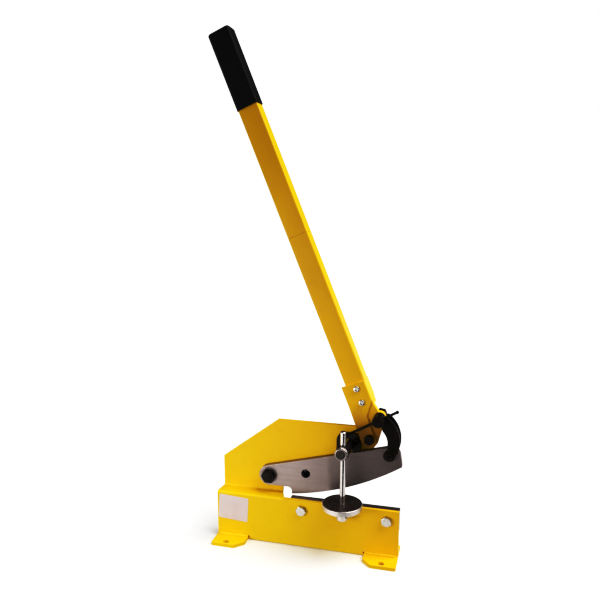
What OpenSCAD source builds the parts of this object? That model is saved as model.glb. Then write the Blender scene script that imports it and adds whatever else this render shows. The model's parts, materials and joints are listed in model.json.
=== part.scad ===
// Hand lever plate shear with a 200 mm blade.
// X runs along the blades, +Y points to the back of the machine, +Z is up.
// The origin is the centre of the four bolt holes in the feet, on the bench.

/* [Frame] */
// Length of the base along X
base_length = 342; // [330:2:360]
// Height of the lower arm, up to the ledge
base_height = 92; // [88:1:100]
// Height of the top edge of the upper arm
frame_height = 233; // [232:1:240]
// Height of the frame's left edge
left_edge_height = 151; // [140:1:170]
// Thickness of the frame plate
plate_t = 6; // [5:0.5:8]
// Length of the ledge that joins the lower arm to the upper arm
ledge_length = 123; // [110:1:130]
// Inside radius of the bend between the ledge and the upper arm
ledge_bend_r = 3; // [2:0.5:5]
// Outside radius of the ledge's front edge
ledge_edge_r = 4; // [2:0.5:5]

/* [Feet] */
// Width of each foot along X
foot_width = 60; // [50:1:70]
// Reach of each foot from the middle of the plate
foot_reach = 40; // [38:1:50]
// Chamfer on the inner corner of each foot
foot_chamfer = 16; // [8:1:20]
// Inside radius of the bend at each front foot
foot_bend_r = 3; // [2:0.5:6]
// Diameter of the bench bolt holes
foot_hole_d = 11; // [9:0.5:13]
// Distance between the bench bolt holes along X
foot_hole_dx = 290; // [280:2:300]
// Distance between the bench bolt holes along Y
foot_hole_dy = 62; // [56:1:64]
// Height of the upright leg of the rear feet
rear_foot_leg = 36; // [25:1:45]

/* [Blades] */
// Thickness of both blades
blade_t = 12; // [10:0.5:14]
// Length of the lower blade
lower_blade_length = 200; // [190:1:200]
// Height of the lower blade
lower_blade_h = 40; // [34:1:44]
// Radius of the curved edge of the moving blade
edge_r = 472; // [460:1:500]
// Radius of the moving blade's eye around its pivot
eye_r = 19.3; // [18:0.1:20]
// Diameter of the hole for round bar in the moving blade
bar_hole_d = 16.4; // [14:0.2:18]
// Gap between the two blades
shear_gap = 0.1; // [0.05:0.05:0.2]

/* [Lever] */
// Lean of the lever from upright, towards the left
lever_tilt = 22.2; // [18:0.1:26]
// Width of the lever tube across its front face
tube_w = 36.5; // [32:0.5:37]
// Depth of the lever tube
tube_d = 30; // [28:1:32]
// Wall of the lever tube
tube_wall = 2; // [1.5:0.5:3]
// Distance from the lever pivot up to the joint between the two tubes
tube_joint_u = 378; // [350:1:400]
// Distance from the lever pivot up to the end of the grip
lever_top_u = 743; // [700:1:800]
// Length of the grip
grip_length = 134; // [110:1:150]

/* [Links] */
// Thickness of each crescent link
link_t = 6; // [5:0.5:7]
// Radius of the crescent's centre line
link_arc_r = 42.5; // [42:0.5:44]
// Width of the crescent
link_width = 25; // [22:0.5:26]
// Radius of the upper eye
upper_eye_r = 10.5; // [9.5:0.5:12]
// Radius of the lower eye
lower_eye_r = 10.5; // [10:0.5:13]

/* [Hold-down] */
// Diameter of the hold-down post
post_d = 10; // [8:0.5:10]
// Distance of the post in front of the middle of the base plate
post_forward = 21; // [21:0.5:24]
// Radius of the foot disc
disc_r = 35.5; // [28:0.5:35.5]
// Thickness of the foot disc
disc_t = 10; // [6:0.5:12]
// Radius of the knurled knob
knob_r = 11; // [9:0.5:12]

/* [Hidden] */
$fn = 96;
eps = 0.01;

// Colours
yellow = [0.94, 0.74, 0.05];
steel = [0.62, 0.57, 0.55];
black_steel = [0.12, 0.11, 0.10];
zinc = [0.80, 0.80, 0.80];
chrome = [0.75, 0.75, 0.77];
rubber = [0.10, 0.10, 0.10];
paper = [0.90, 0.86, 0.82];

// Layers along Y
base_front_y = -plate_t / 2;
base_back_y = plate_t / 2;
cut_y = base_back_y + blade_t;
moving_front_y = cut_y + shear_gap;
moving_back_y = moving_front_y + blade_t;
arm_front_y = moving_back_y + shear_gap;
arm_back_y = arm_front_y + plate_t;

// Frame
base_half = base_length / 2;
ledge_end_x = -base_half + ledge_length;
slant_top_x = -59;
ledge_outer_r = ledge_bend_r + plate_t;
foot_outer_r = foot_bend_r + plate_t;
foot_inner_x = base_half - foot_width;
bench_gap = 1.5;
bend_relief_r = 3;
arm_tip_r = 15;
arm_lean = 26;
arm_left_x = -base_half + 3;
arm_belly = [[110, 175], [83, 140], [-42, 104]];
throat_r = 6;
ledge_front_x = ledge_end_x + 7;
ledge_back_x = ledge_end_x - 2.6;
lower_blade_end_x = base_half - lower_blade_length;
lower_blade_top = base_height + 0.5;
lower_blade_bolt_inset = 22;
lower_blade_bolt_z = 73;

// Fasteners: thread radius, head and nut sizes
m6_r = 3;
m6_head_r = 5.6;
m6_head = 3.6;
m6_af = 10;
m6_nut = 5;
m8_r = 4;
m10_r = 5;
m10_af = 17;
m10_head = 6.4;
m10_nut = 8;
m16_r = 8;
m16_af = 24;
m16_head = 6;
m16_nut = 10;
play = 0.1;
running = 0.05;

// Moving blade
blade_pivot = [-74, 126.2];
blade_bush_r = 11;
bar_hole = [-3.3, 136.9];
bar_bush_r = 12.5;
bar_bush_bore_r = 6.75;
bar_bush_flange_r = 16;
bar_bush_flange_t = 11;
edge_centre = [-88, 94.6 + edge_r - 3.6];
heel_x = -30;
heel_notch_z = 107.5;
heel_notch_r = 8;
tip_centre = [152.7, 187.7];
tip_r = 16;
tip_x = 171.5;
tip_z = 171;
blade_slope = 14.6;
tip_slope = 10.5;
pivot_washer_r = 15;
pivot_washer_t = 2;

// Lever, in its own frame: v across the tube, u up along it, from the lever pivot
lever_pivot = [113.4, 216.5];
tube_v = 11.4;
tube_left_v = tube_v - tube_w / 2;
tube_right_v = tube_v + tube_w / 2;
tube_foot_u = 56;
tube_corner_r = 3;
tube_front_y = moving_front_y;
tube_back_y = tube_front_y + tube_d;
cheek_t = 4;
cheek_front_y = tube_front_y - cheek_t;
cheek_back_y = tube_back_y + cheek_t;
cheek_left_v = -13.2;
cheek_right_v = 9.8;
cheek_r = 15.5;
web_gap = 0.2;
web_t = 2.2;
web_v = tube_right_v;
web_foot_u = 66;
web_corner_r = 3;
cheek_waist_u = 40;
bracket_top_u = 103;
bracket_bolts_u = [66.9, 92.6];
nose_r = 10.3;
nose_foot_r = 16;
nose_shoulder = [33, 38.5];
nose_overlap = 0.2;
joiner_half = 60;
joiner_wall = 2.5;
joiner_gap = 0.1;
lever_bolt_af = 16;
lever_washer_r = 8.5;
lever_washer_t = 1.5;
lever_bush_r = 8;
grip_wall = 2;
grip_corner_r = 6;
grip_end_t = 3;

// Links and their pivots
upper_link_local = [30.85, 30.6];
upper_link = [
    lever_pivot.x + upper_link_local.x * cos(lever_tilt) - upper_link_local.y * sin(lever_tilt),
    lever_pivot.y + upper_link_local.x * sin(lever_tilt) + upper_link_local.y * cos(lever_tilt)
];
lower_link = [149, 189.3];
link_outer_centre = [112.3, 215.5];
link_inner_centre = [115.7, 212.1];
link_gap = 0.4;
link_front_y = moving_front_y - link_gap - link_t;
link_rear_y = moving_back_y + link_gap;
link_chord = 100;
pin_head_r = 6;
pin_head_t = 4;
pin_stop = 0.2;
lock_shank_r = 6;
lock_head_r = 10.3;
lock_head_t = 18.5;
lock_nut_af = 19;
lock_nut_t = 8;
bar_r = 2.3;
bar_ball_r = 3;
bar_angle = 29.5;
bar_left = 62;
bar_right = 36.5;
bar_depth = 9;

// Hold-down
post_x = 72.6;
post_top = 238.5;
post_foot = 78;
post_chamfer = 1;
disc_top = 106.5;
disc_edge = 1;
hub_r = 10.3;
hub_foot = 74;
hub_round = 3;
grub_r = 3;
grub_z = 84;
grub_azimuth = 57;
knob_z = 203.5;
knob_len = 10;
knob_screw_r = 4;
boss_w = 20;
boss_h = 16;
boss_back_y = -10;
boss_front_y = -30;
arch_x = [54, 97];
arch_z = [193, 221];
arch_leg = 8;
arch_right_leg = 15;
arch_gap = 1.2;
arch_r = 12;
arm_x = [75, 83];
bracket_bolt = [90, 208];
bracket_bolt_head_r = 6.5;
bracket_bolt_head_t = 8;

// Label on the base
label_middle = [-139.5, 60.8];
label_size = [58, 48.2];
label_turn = -3.6;
label_t = 0.4;

// Draws an XZ shape as a slab between two depths
module slab(y0, y1) {
    translate([0, y1, 0])
        rotate([90, 0, 0])
            linear_extrude(height = y1 - y0)
                children();
}

// Draws a YZ shape as a bar between two places along X
module bar_along_x(x0, x1) {
    translate([x0, 0, 0])
        rotate([90, 0, 90])
            linear_extrude(height = x1 - x0)
                children();
}

// A round rod along Y at a point of the XZ plane
module rod(at, r, y0, y1) {
    translate([at.x, y0, at.y])
        rotate([-90, 0, 0])
            cylinder(r = r, h = y1 - y0);
}

// A six-sided prism along Y
module hexagon(at, af, y0, y1) {
    translate([at.x, y0, at.y])
        rotate([-90, 0, 0])
            cylinder(r = af / 2 / cos(30), h = y1 - y0, $fn = 6);
}

// Places a shape in the lever's own frame
module on_lever() {
    translate([lever_pivot.x, 0, lever_pivot.y])
        rotate([0, -lever_tilt, 0])
            children();
}

// A rectangle with round corners, centred on a point
module round_rect(at, w, h, r) {
    translate([at.x - w / 2 + r, at.y - h / 2])
        square([w - 2 * r, h]);
    translate([at.x - w / 2, at.y - h / 2 + r])
        square([w, h - 2 * r]);
    for (sx = [-1, 1])
        for (sy = [-1, 1])
            translate([at.x + sx * (w / 2 - r), at.y + sy * (h / 2 - r)])
                circle(r = r, $fn = 48);
}

// A quarter of a ring, in the quadrant given by the signs sx and sy
module quarter_ring(at, inner, outer, sx, sy) {
    translate(at)
        intersection() {
            difference() {
                circle(r = outer);
                circle(r = inner);
            }
            scale([sx, sy])
                square(outer);
        }
}

// ---- Frame ----

// Section through the ledge and its two bends, in the YZ plane
module ledge_section() {
    bend_y = base_front_y + ledge_edge_r;
    rise_y = arm_front_y - ledge_bend_r;
    edge_z = base_height - ledge_edge_r;
    translate([base_front_y, base_height / 2])
        square([plate_t, edge_z - base_height / 2]);
    translate([bend_y, edge_z])
        intersection() {
            circle(r = ledge_edge_r);
            translate([-ledge_edge_r, 0])
                square(ledge_edge_r);
        }
    translate([bend_y, base_height - plate_t])
        square([rise_y - bend_y, plate_t]);
    quarter_ring([rise_y, base_height + ledge_bend_r], ledge_bend_r, ledge_outer_r, 1, -1);
    translate([arm_front_y, base_height + ledge_bend_r])
        square([plate_t, plate_t]);
}

// Front face of the lower arm, without its feet
module base_face() {
    difference() {
        union() {
            translate([-base_half, foot_outer_r])
                square([base_length, base_height - ledge_edge_r - foot_outer_r]);
            translate([ledge_front_x, foot_outer_r])
                square([base_half - ledge_front_x, base_height - foot_outer_r]);
            translate([-foot_inner_x, bench_gap])
                square([2 * foot_inner_x, foot_outer_r]);
        }
        for (side = [-1, 1])
            translate([side * foot_inner_x, foot_outer_r - bend_relief_r])
                circle(r = bend_relief_r);
    }
}

// Face of the upper arm
module arm_face() {
    polygon(concat(
        [
            [ledge_back_x, base_height + ledge_bend_r],
            [arm_left_x, base_height + ledge_bend_r],
            [arm_left_x, left_edge_height],
            [slant_top_x, frame_height],
            [lever_pivot.x - arm_tip_r, frame_height],
            [lever_pivot.x, lever_pivot.y + arm_tip_r],
            lever_pivot + arm_tip_r * [cos(arm_lean), -sin(arm_lean)]
        ],
        arm_belly,
        [[ledge_back_x, arm_belly[2].y]]
    ));
    translate(lever_pivot)
        circle(r = arm_tip_r);
    difference() {
        translate([ledge_back_x, arm_belly[2].y - throat_r])
            square(throat_r);
        translate([ledge_back_x + throat_r, arm_belly[2].y - throat_r])
            circle(r = throat_r);
    }
}

// Plan of the ledge, whose ends are cut at an angle
module ledge_plan() {
    polygon([
        [-base_half, base_front_y],
        [ledge_front_x, base_front_y],
        [ledge_front_x, base_back_y],
        [ledge_back_x, arm_front_y],
        [ledge_back_x, arm_back_y],
        [arm_left_x, arm_back_y],
        [arm_left_x, arm_front_y],
        [-base_half, base_back_y]
    ]);
}

// Section of a front foot and its bend, in the YZ plane
module front_foot_section() {
    bend_y = base_front_y - foot_bend_r;
    quarter_ring([bend_y, foot_outer_r], foot_bend_r, foot_outer_r, 1, -1);
    translate([-foot_reach, 0])
        square([bend_y + foot_reach, plate_t]);
}

// Plan of a foot with its chamfered inner corner, drawn for the right side, towards +Y
module foot_plan() {
    corner_r = 3;
    difference() {
        translate([foot_inner_x, -plate_t])
            square([foot_width, foot_reach + plate_t]);
        polygon([
            [foot_inner_x - eps, foot_reach - foot_chamfer],
            [foot_inner_x - eps, foot_reach + eps],
            [foot_inner_x + foot_chamfer, foot_reach + eps]
        ]);
        translate([base_half - corner_r, foot_reach - corner_r])
            difference() {
                square(2 * corner_r);
                circle(r = corner_r);
            }
    }
}

module frame_plate() {
    color(yellow)
        difference() {
            union() {
                slab(base_front_y, base_back_y)
                    base_face();
                intersection() {
                    bar_along_x(-base_half, ledge_front_x)
                        ledge_section();
                    linear_extrude(height = frame_height)
                        ledge_plan();
                }
                slab(arm_front_y, arm_back_y)
                    arm_face();
                for (side = [0, 1])
                    mirror([side, 0, 0])
                        intersection() {
                            bar_along_x(foot_inner_x, base_half)
                                front_foot_section();
                            mirror([0, 1, 0])
                                linear_extrude(height = base_height)
                                    foot_plan();
                        }
            }
            for (side = [-1, 1])
                translate([side * foot_hole_dx / 2, -foot_hole_dy / 2, -eps])
                    cylinder(d = foot_hole_d, h = plate_t + 2 * eps);
            for (x = lower_blade_bolt_xs())
                rod([x, lower_blade_bolt_z], m10_r + play, base_front_y - eps, base_back_y + eps);
            rod(blade_pivot, m16_r + play, arm_front_y - eps, arm_back_y + eps);
            rod(bar_hole, bar_bush_r, arm_front_y - eps, arm_back_y + eps);
            rod(lever_pivot, lever_bush_r, arm_front_y - eps, arm_back_y + eps);
            rod(bracket_bolt, m8_r + play, arm_front_y - eps, arm_back_y + eps);
        }
}

// Angle foot behind the base plate, drawn for the right side
module rear_foot() {
    bend_y = base_back_y + ledge_outer_r;
    difference() {
        intersection() {
            bar_along_x(foot_inner_x, base_half)
                union() {
                    translate([base_back_y, ledge_outer_r])
                        square([plate_t, rear_foot_leg - ledge_outer_r]);
                    quarter_ring([bend_y, ledge_outer_r], ledge_bend_r, ledge_outer_r, -1, -1);
                    translate([bend_y, 0])
                        square([foot_reach - bend_y, plate_t]);
                }
            linear_extrude(height = base_height)
                foot_plan();
        }
        translate([foot_hole_dx / 2, foot_hole_dy / 2, -eps])
            cylinder(d = foot_hole_d, h = plate_t + 2 * eps);
    }
}

module rear_foot_left() {
    color(yellow)
        mirror([1, 0, 0])
            rear_foot();
}

module rear_foot_right() {
    color(yellow)
        rear_foot();
}

module blank_label() {
    color(paper)
        slab(base_front_y - label_t, base_front_y)
            translate(label_middle)
                rotate(label_turn)
                    square(label_size, center = true);
}

// ---- Lower blade ----

// Places of the two lower blade bolts along X
function lower_blade_bolt_xs() = [
    lower_blade_end_x + lower_blade_bolt_inset,
    base_half - lower_blade_bolt_inset
];

module lower_blade() {
    color(steel)
        difference() {
            slab(base_back_y, cut_y)
                translate([lower_blade_end_x, lower_blade_top - lower_blade_h])
                    square([lower_blade_length, lower_blade_h]);
            for (x = lower_blade_bolt_xs())
                rod([x, lower_blade_bolt_z], m10_r + play, base_back_y - eps, cut_y + eps);
        }
}

module lower_blade_bolts() {
    color(zinc)
        for (x = lower_blade_bolt_xs()) {
            hexagon([x, lower_blade_bolt_z], m10_af, base_front_y - m10_head, base_front_y);
            rod([x, lower_blade_bolt_z], m10_r, base_front_y - eps, cut_y - 1);
        }
}

module round_bar_bush() {
    color(black_steel)
        difference() {
            union() {
                rod(bar_hole, bar_bush_r, arm_front_y, arm_back_y + eps);
                rod(bar_hole, bar_bush_flange_r, arm_back_y, arm_back_y + bar_bush_flange_t);
            }
            rod(bar_hole, bar_bush_bore_r, arm_front_y - eps, arm_back_y + bar_bush_flange_t + eps);
        }
}

// ---- Moving blade ----

// The corner cut out below the blade's eye, in front of its heel
module heel_notch() {
    depth = 60;
    reach = 80;
    translate([heel_x - reach, heel_notch_z - depth])
        square([reach - heel_notch_r, depth]);
    translate([heel_x - reach, heel_notch_z - depth])
        square([reach, depth - heel_notch_r]);
    translate([heel_x - heel_notch_r, heel_notch_z - heel_notch_r])
        circle(r = heel_notch_r);
}

// Outline of the moving blade
module blade_outline() {
    normal = [-sin(blade_slope), cos(blade_slope)];
    difference() {
        intersection() {
            translate(edge_centre)
                circle(r = edge_r, $fn = 720);
            polygon([
                blade_pivot + eye_r * normal,
                tip_centre + tip_r * normal,
                tip_centre,
                tip_centre + tip_r * [cos(tip_slope), sin(tip_slope)],
                [tip_x, tip_z],
                [tip_x, 0],
                [blade_pivot.x, 0]
            ]);
        }
        heel_notch();
    }
    translate(tip_centre)
        circle(r = tip_r);
    translate(blade_pivot)
        circle(r = eye_r);
}

module moving_blade() {
    color(steel)
        difference() {
            slab(moving_front_y, moving_back_y)
                blade_outline();
            rod(blade_pivot, blade_bush_r + running, moving_front_y - eps, moving_back_y + eps);
            rod(bar_hole, bar_hole_d / 2, moving_front_y - eps, moving_back_y + eps);
            rod(lower_link, m10_r + running, moving_front_y - eps, moving_back_y + eps);
        }
}

module blade_pivot_bush() {
    color(steel)
        difference() {
            rod(blade_pivot, blade_bush_r, moving_front_y - play, arm_front_y);
            rod(blade_pivot, m16_r + play, moving_front_y - 1, arm_front_y + 1);
        }
}

module blade_pivot_washers() {
    front_y = moving_front_y - play - pivot_washer_t;
    color(zinc)
        difference() {
            union() {
                rod(blade_pivot, pivot_washer_r, front_y, front_y + pivot_washer_t);
                rod(blade_pivot, pivot_washer_r, arm_back_y, arm_back_y + pivot_washer_t);
            }
            rod(blade_pivot, m16_r + play, front_y - 1, arm_back_y + pivot_washer_t + 1);
        }
}

module blade_pivot_bolt() {
    front_y = moving_front_y - play - pivot_washer_t;
    back_y = arm_back_y + pivot_washer_t + m16_nut + 3;
    color(black_steel) {
        hexagon(blade_pivot, m16_af, front_y - m16_head, front_y);
        rod(blade_pivot, m16_r, front_y - eps, back_y);
    }
}

module blade_pivot_nut() {
    front_y = arm_back_y + pivot_washer_t;
    color(black_steel)
        difference() {
            hexagon(blade_pivot, m16_af, front_y, front_y + m16_nut);
            rod(blade_pivot, m16_r + play, front_y - 1, front_y + m16_nut + 1);
        }
}

// ---- Lever ----

module lever_pivot_bush() {
    color(steel)
        difference() {
            rod(lever_pivot, lever_bush_r, arm_front_y, arm_back_y);
            rod(lever_pivot, m10_r + running, arm_front_y - eps, arm_back_y + eps);
        }
}

// Lower part of a bracket cheek, around the pivot and clear of the links, in the lever's frame
module cheek_foot() {
    intersection() {
        circle(r = cheek_r);
        translate([-cheek_r - 1, -cheek_r - 1])
            square([cheek_r + 1 + cheek_right_v, 2 * cheek_r + 2]);
    }
    polygon([
        [-cheek_r, 0],
        [cheek_left_v, web_foot_u + eps],
        [web_v, web_foot_u + eps],
        [web_v, web_foot_u],
        [cheek_right_v, cheek_waist_u],
        [cheek_right_v, 0]
    ]);
}

module lever_bracket() {
    inner_v = web_v - web_t;
    color(yellow)
        on_lever()
            difference() {
                union() {
                    slab(cheek_front_y, tube_front_y)
                        cheek_foot();
                    slab(tube_back_y, cheek_back_y)
                        cheek_foot();
                    translate([0, 0, web_foot_u])
                        linear_extrude(height = bracket_top_u - web_foot_u)
                            difference() {
                                union() {
                                    translate([cheek_left_v, cheek_front_y])
                                        square([web_v - cheek_left_v - web_corner_r,
                                                cheek_back_y - cheek_front_y]);
                                    translate([0, (cheek_front_y + cheek_back_y) / 2])
                                        round_rect([web_v / 2, 0], web_v,
                                                   cheek_back_y - cheek_front_y, web_corner_r);
                                }
                                translate([cheek_left_v - 1, tube_front_y])
                                    square([inner_v - cheek_left_v + 1, tube_d]);
                            }
                }
                rod([0, 0], m10_r + play, cheek_front_y - eps, cheek_back_y + eps);
                for (u = bracket_bolts_u)
                    rod([tube_v, u], m6_r + play, cheek_front_y - eps, cheek_back_y + eps);
            }
}

// Bar of the nose plate from the lever pivot to the upper link pivot, in the lever's frame
module nose_bar() {
    along = upper_link_local / norm(upper_link_local);
    side = [along.y, -along.x];
    circle(r = nose_foot_r);
    translate(upper_link_local)
        circle(r = nose_r);
    polygon([
        side * (nose_foot_r - nose_overlap),
        upper_link_local + side * (nose_r - nose_overlap),
        upper_link_local - side * (nose_r - nose_overlap),
        -side * (nose_foot_r - nose_overlap)
    ]);
}

// Tongue of the nose plate up to the foot of the tube, in the lever's frame
module nose_tongue() {
    tongue_u = tube_foot_u - play;
    polygon([
        [cheek_left_v + 2, 0],
        [cheek_left_v + 2, tongue_u],
        [web_v, tongue_u],
        nose_shoulder,
        upper_link_local
    ]);
}

module lever_nose_plate() {
    color(yellow)
        on_lever()
            difference() {
                union() {
                    slab(moving_front_y, moving_back_y)
                        nose_bar();
                    slab(moving_front_y, moving_back_y)
                        nose_tongue();
                }
                rod([0, 0], m10_r + play, moving_front_y - eps, moving_back_y + eps);
                rod(upper_link_local, lock_shank_r + running, moving_front_y - eps,
                    moving_back_y + eps);
            }
}

module lever_pivot_bolt() {
    front_y = cheek_front_y - lever_washer_t;
    back_y = cheek_back_y + lever_washer_t + m10_nut + 2;
    color(black_steel)
        on_lever() {
            hexagon([0, 0], lever_bolt_af, front_y - m10_head, front_y);
            rod([0, 0], m10_r, front_y - eps, back_y);
        }
}

module lever_pivot_spacer() {
    color(zinc)
        on_lever()
            difference() {
                rod([0, 0], lever_bush_r, arm_back_y + play, tube_back_y);
                rod([0, 0], m10_r + play, arm_back_y - 1, tube_back_y + 1);
            }
}

module lever_pivot_washers() {
    color(black_steel)
        on_lever()
            difference() {
                union() {
                    rod([0, 0], lever_washer_r, cheek_front_y - lever_washer_t, cheek_front_y);
                    rod([0, 0], lever_washer_r, cheek_back_y, cheek_back_y + lever_washer_t);
                }
                rod([0, 0], m10_r + play, cheek_front_y - 3, cheek_back_y + 3);
            }
}

module lever_pivot_nut() {
    front_y = cheek_back_y + lever_washer_t;
    color(black_steel)
        on_lever()
            difference() {
                hexagon([0, 0], lever_bolt_af, front_y, front_y + m10_nut);
                rod([0, 0], m10_r + play, front_y - 1, front_y + m10_nut + 1);
            }
}

// A rectangular tube along the lever between two heights
module lever_tube(u0, u1, w, d, wall, r) {
    translate([0, 0, u0])
        linear_extrude(height = u1 - u0)
            translate([0, (tube_front_y + tube_back_y) / 2])
                difference() {
                    round_rect([tube_v, 0], w, d, r);
                    round_rect([tube_v, 0], w - 2 * wall, d - 2 * wall, max(r - wall, 0.5));
                }
}

// The tube's right wall is cut away where the bracket's web takes its place
module lever_tube_lower() {
    color(yellow)
        on_lever()
            difference() {
                lever_tube(tube_foot_u, tube_joint_u, tube_w, tube_d, tube_wall, tube_corner_r);
                translate([web_v - web_t - web_gap, tube_front_y - 1, web_foot_u - web_gap])
                    cube([web_t + web_gap + 1, tube_d + 2, bracket_top_u - web_foot_u + 2 * web_gap]);
                for (u = bracket_bolts_u)
                    rod([tube_v, u], m6_r + play, tube_front_y - eps, tube_back_y + eps);
            }
}

module lever_tube_upper() {
    color(yellow)
        on_lever()
            lever_tube(tube_joint_u + play, lever_top_u - grip_end_t - play,
                       tube_w, tube_d, tube_wall, tube_corner_r);
}

module lever_joiner() {
    trim = 2 * (tube_wall + joiner_gap);
    color(steel)
        on_lever()
            lever_tube(tube_joint_u - joiner_half, tube_joint_u + joiner_half,
                       tube_w - trim, tube_d - trim, joiner_wall, 1.5);
}

module lever_grip() {
    top_step = 3;
    middle = [tube_v, (tube_front_y + tube_back_y) / 2];
    outer_w = tube_w + 2 * grip_wall;
    outer_d = tube_d + 2 * grip_wall;
    color(rubber)
        on_lever()
            difference() {
                union() {
                    translate([0, 0, lever_top_u - grip_length])
                        linear_extrude(height = grip_length - top_step / 2)
                            round_rect(middle, outer_w, outer_d, grip_corner_r);
                    translate([0, 0, lever_top_u - top_step])
                        linear_extrude(height = top_step)
                            round_rect(middle, outer_w - top_step, outer_d - top_step,
                                       grip_corner_r - top_step / 2);
                }
                translate([0, 0, lever_top_u - grip_length - eps])
                    linear_extrude(height = grip_length - grip_end_t + eps)
                        round_rect(middle, tube_w, tube_d, tube_corner_r);
            }
}

module lever_bracket_bolts() {
    color(zinc)
        on_lever()
            for (u = bracket_bolts_u) {
                rod([tube_v, u], m6_head_r, cheek_front_y - m6_head, cheek_front_y);
                rod([tube_v, u], m6_r, cheek_front_y - eps, cheek_back_y + m6_nut + 2);
            }
}

module lever_bracket_nuts() {
    color(zinc)
        on_lever()
            for (u = bracket_bolts_u)
                difference() {
                    hexagon([tube_v, u], m6_af, cheek_back_y, cheek_back_y + m6_nut);
                    rod([tube_v, u], m6_r + play, cheek_back_y - 1, cheek_back_y + m6_nut + 1);
                }
}

// ---- Links ----

// Outline of a crescent link, with an eye at each end
module link_outline() {
    chord = lower_link - upper_link;
    away = [-chord.y, chord.x] / norm(chord) * link_chord;
    translate(upper_link)
        circle(r = upper_eye_r);
    translate(lower_link)
        circle(r = lower_eye_r);
    intersection() {
        difference() {
            translate(link_outer_centre)
                circle(r = link_arc_r + link_width / 2);
            translate(link_inner_centre)
                circle(r = link_arc_r - link_width / 2);
        }
        polygon([upper_link, lower_link, lower_link + away, upper_link + away]);
    }
}

// A crescent link whose front face is at a given depth
module link(y) {
    difference() {
        slab(y, y + link_t)
            link_outline();
        rod(upper_link, lock_shank_r + running, y - eps, y + link_t + eps);
        rod(lower_link, m10_r, y - eps, y + link_t + eps);
    }
}

module link_front() {
    color(black_steel)
        link(link_front_y);
}

module link_rear() {
    color(black_steel)
        link(link_rear_y);
}

// The lower link pin, in two halves that stop just short of the moving blade
module link_pin_lower() {
    back_y = link_rear_y + link_t;
    color(black_steel) {
        rod(lower_link, pin_head_r, link_front_y - pin_head_t, link_front_y);
        rod(lower_link, m10_r, link_front_y - eps, moving_front_y - pin_stop);
        rod(lower_link, m10_r, moving_back_y + pin_stop, back_y + eps);
        rod(lower_link, pin_head_r, back_y, back_y + pin_head_t);
    }
}

module link_nut_upper() {
    front_y = link_rear_y + link_t;
    color(black_steel)
        difference() {
            hexagon(upper_link, lock_nut_af, front_y, front_y + lock_nut_t);
            rod(upper_link, lock_shank_r + running, front_y - 1, front_y + lock_nut_t + 1);
        }
}

// ---- Lock screw ----

// Places a shape that points along X at the lock screw, turned to the tommy bar's angle
module at_tommy_bar() {
    translate([upper_link.x, link_front_y - play - lock_head_t + bar_depth, upper_link.y])
        rotate([0, -bar_angle, 0])
            rotate([0, 90, 0])
                children();
}

module lock_screw() {
    head_y = link_front_y - play;
    color(black_steel)
        difference() {
            union() {
                rod(upper_link, lock_head_r, head_y - lock_head_t, head_y);
                rod(upper_link, lock_shank_r, head_y - eps, link_rear_y + link_t + lock_nut_t + 2);
            }
            at_tommy_bar()
                translate([0, 0, -lock_head_r - 1])
                    cylinder(r = bar_r + running, h = 2 * lock_head_r + 2);
        }
}

module tommy_bar() {
    color(black_steel)
        at_tommy_bar() {
            translate([0, 0, -bar_left])
                cylinder(r = bar_r, h = bar_left + bar_right);
            for (end = [-bar_left, bar_right])
                translate([0, 0, end])
                    sphere(r = bar_ball_r, $fn = 48);
        }
}

// ---- Hold-down ----

// Height of the moving blade's top edge at a place along X
function blade_top(x) =
    blade_pivot.y + eye_r * cos(blade_slope)
    + (x - blade_pivot.x + eye_r * sin(blade_slope)) * tan(blade_slope);

// The arch that sits against the upper arm
module arch_outline() {
    width = arch_x[1] - arch_x[0];
    height = arch_z[1] - arch_z[0];
    slot_w = width - arch_leg - arch_right_leg;
    slot_x = arch_x[0] + arch_leg;
    leg_x = arch_x[1] - arch_right_leg;
    difference() {
        union() {
            translate([arch_x[0], arch_z[0]])
                square([width, height - arch_r]);
            translate([arch_x[0] + arch_r, arch_z[0]])
                square([width - 2 * arch_r, height]);
            for (x = [arch_x[0] + arch_r, arch_x[1] - arch_r])
                translate([x, arch_z[1] - arch_r])
                    circle(r = arch_r);
            polygon([
                [leg_x, arch_z[0] + 1],
                [arch_x[1], arch_z[0] + 1],
                [arch_x[1], blade_top(arch_x[1]) + arch_gap],
                [leg_x, blade_top(leg_x) + arch_gap]
            ]);
        }
        translate([slot_x, arch_z[0] - eps])
            square([slot_w, height - arch_leg - slot_w / 2]);
        translate([slot_x + slot_w / 2, arch_z[1] - arch_leg - slot_w / 2])
            circle(r = slot_w / 2);
    }
}

module holddown_bracket() {
    boss_z = knob_z - boss_h / 2;
    color(black_steel)
        difference() {
            union() {
                slab(moving_front_y, arm_front_y)
                    arch_outline();
                translate([arm_x[0], boss_front_y, boss_z])
                    cube([arm_x[1] - arm_x[0], arm_front_y - boss_front_y, boss_h]);
                translate([post_x - boss_w / 2, boss_front_y, boss_z])
                    cube([boss_w, boss_back_y - boss_front_y, boss_h]);
            }
            translate([post_x, -post_forward, boss_z - 1])
                cylinder(r = post_d / 2 + running, h = boss_h + 2);
            rod([post_x, knob_z], knob_screw_r + play, boss_front_y - 1, -post_forward);
            rod(bracket_bolt, m8_r + play, moving_front_y - 1, arm_front_y + 1);
        }
}

module holddown_bracket_bolt() {
    color(black_steel) {
        rod(bracket_bolt, bracket_bolt_head_r, moving_front_y - bracket_bolt_head_t,
            moving_front_y);
        rod(bracket_bolt, m8_r, moving_front_y - eps, arm_back_y);
    }
}

module holddown_post() {
    color(chrome)
        translate([post_x, -post_forward, post_foot])
            rotate_extrude()
                polygon([
                    [0, 0],
                    [post_d / 2, 0],
                    [post_d / 2, post_top - post_foot - post_chamfer],
                    [post_d / 2 - post_chamfer, post_top - post_foot],
                    [0, post_top - post_foot]
                ]);
}

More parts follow.
